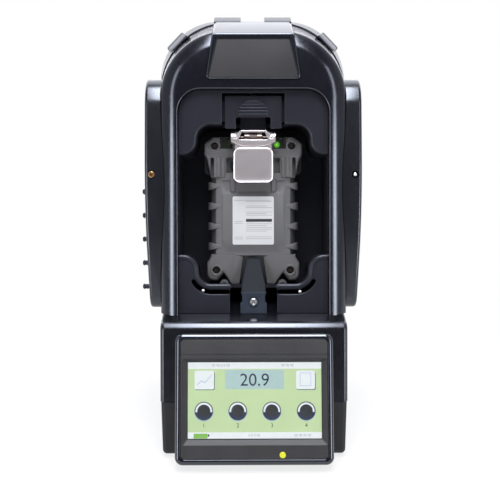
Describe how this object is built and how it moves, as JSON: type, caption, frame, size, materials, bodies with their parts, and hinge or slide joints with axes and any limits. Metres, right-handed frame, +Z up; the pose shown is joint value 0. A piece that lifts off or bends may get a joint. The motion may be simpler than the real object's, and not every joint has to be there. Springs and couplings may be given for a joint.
{
  "type": "gas detector test stand",
  "caption": "Bench test stand with a sloped touch screen and a leaning cradle that holds, charges and gas-tests a portable gas detector, docked back outwards.",
  "frame": {"origin": "middle of the footprint, on the surface that the feet stand on", "axes": "+Z up, +X to the right of a person facing the screen, and the screen and cradle face -Y"},
  "size_m": [0.1656, 0.1811, 0.3098],
  "materials": {
    "gloss_black": "glossy blue-black moulding",
    "satin_black": "satin black moulding",
    "charcoal": "fine-grained charcoal moulding",
    "slate": "matte slate blue moulding",
    "detector_grey": "matte mid-grey moulding",
    "chrome": "bright plated steel",
    "steel": "plain steel",
    "brass": "plain brass",
    "rubber": "matte rubber",
    "label_white": "bare white label",
    "screen_green": "lit display",
    "clear_glass": "clear",
    "light_green": "clear green light pipe",
    "light_amber": "clear yellow light",
    "board_green": "circuit board",
    "battery_blue": "sleeved cells",
    "aluminium": "plain machined"
  },
  "bodies": {
    "stand": {"front_shell": "gloss_black", "top_hood": "gloss_black", "base_housing": "gloss_black", "screen_bezel": "gloss_black", "rear_shell": "satin_black", "cradle_pan": "satin_black", "side_cover_left": "satin_black", "side_cover_right": "satin_black", "flow_cup": "satin_black", "inlet_port_block": "satin_black", "power_jack": "satin_black", "network_jack": "satin_black", "name_plate": "charcoal", "base_tray": "charcoal", "front_plate": "charcoal", "charge_nose": "slate", "charge_contact": "brass", "cover_insert": "brass", "nose_screw": "steel", "latch_spring": "steel", "foot_front_left": "rubber", "foot_front_right": "rubber", "foot_back_left": "rubber", "foot_back_right": "rubber", "rest_pad_left": "rubber", "rest_pad_right": "rubber", "cup_seal": "rubber", "display_panel": "screen_green", "touch_glass": "clear_glass", "status_led": "light_amber", "main_board": "board_green", "gas_pump": "aluminium", "valve_manifold": "aluminium"},
    "latch": {"release_latch": "satin_black"},
    "detector": {"detector_rear_shell": "detector_grey", "detector_front_shell": "detector_grey", "shell_gasket": "rubber", "detector_board": "board_green", "battery_pack": "battery_blue", "lcd_module": "screen_green", "display_lens": "clear_glass", "sensor_grille": "charcoal", "gas_sensor_1": "aluminium", "gas_sensor_2": "aluminium", "gas_sensor_3": "aluminium", "rear_label": "label_white", "clip_bracket": "steel", "clip_pin": "steel", "clip_spring": "steel", "shell_screw_top_left": "steel", "shell_screw_top_right": "steel", "shell_screw_bottom_left": "steel", "shell_screw_bottom_right": "steel", "light_pipe_left": "light_green", "light_pipe_right": "light_green", "buzzer": "satin_black"},
    "clip": {"clip_lever": "chrome"},
    "button_1": {"push_button_1": "charcoal"},
    "button_2": {"push_button_2": "charcoal"},
    "button_3": {"push_button_3": "charcoal"}
  },
  "joints": [
    {"name": "latch_slide", "type": "slide", "parent": "stand", "child": "latch", "axis": [0, 0.2419, 0.9703], "range_m": [0, 0.003], "stiffness_N_per_m": 400, "springref_m": -0.004, "deforming": ["latch_spring"]},
    {"name": "detector_tilt", "type": "hinge", "parent": "stand", "child": "detector", "pos_m": [0, 0.00663, 0.13295], "axis": [1, 0, 0], "range_deg": [0, 15]},
    {"name": "clip_open", "type": "hinge", "parent": "detector", "child": "clip", "pos_m": [0, 0.02093, 0.22255], "axis": [-1, 0, 0], "range_deg": [0, 25], "stiffness_Nm_per_rad": 0.2, "springref_deg": -17.19},
    {"name": "button_press_1", "type": "slide", "parent": "detector", "child": "button_1", "axis": [0, -0.9703, 0.2419], "range_m": [0, 0.0008], "stiffness_N_per_m": 400, "springref_m": -0.001},
    {"name": "button_press_2", "type": "slide", "parent": "detector", "child": "button_2", "axis": [0, -0.9703, 0.2419], "range_m": [0, 0.0008], "stiffness_N_per_m": 400, "springref_m": -0.001},
    {"name": "button_press_3", "type": "slide", "parent": "detector", "child": "button_3", "axis": [0, -0.9703, 0.2419], "range_m": [0, 0.0008], "stiffness_N_per_m": 400, "springref_m": -0.001}
  ]
}
